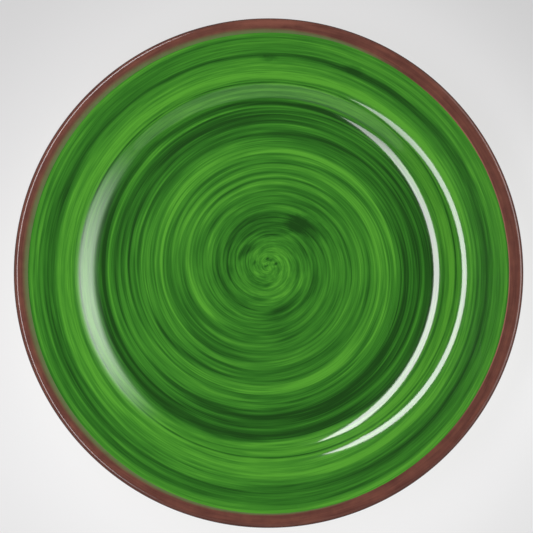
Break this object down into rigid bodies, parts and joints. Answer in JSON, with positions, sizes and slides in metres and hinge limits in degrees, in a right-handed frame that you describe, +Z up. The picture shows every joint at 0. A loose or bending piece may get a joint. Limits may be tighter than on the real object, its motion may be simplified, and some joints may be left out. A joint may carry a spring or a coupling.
{
  "type": "dinner plate",
  "caption": "Round glazed dinner plate with a flat well, a coved wall, a sloping rim, a contrasting band round the lip and a turned foot ring.",
  "frame": {"origin": "centre of the plane that the foot ring stands on, on the plate's axis", "axes": "+Z up along the plate's axis, out of the well; X and Y lie in the plane of the foot"},
  "size_m": [0.27, 0.27, 0.0223],
  "materials": {
    "biscuit_clay": "fine, dry, ground flat where it stands",
    "green_glaze": "glossy, with turned brush rings",
    "brown_band": "satin to glossy, finely mottled",
    "ivory_glaze": "glossy"
  },
  "bodies": {
    "root": {"clay_body": "biscuit_clay", "green_face_glaze": "green_glaze", "brown_rim_band": "brown_band", "back_glaze": "ivory_glaze", "base_glaze": "ivory_glaze"}
  },
  "joints": []
}
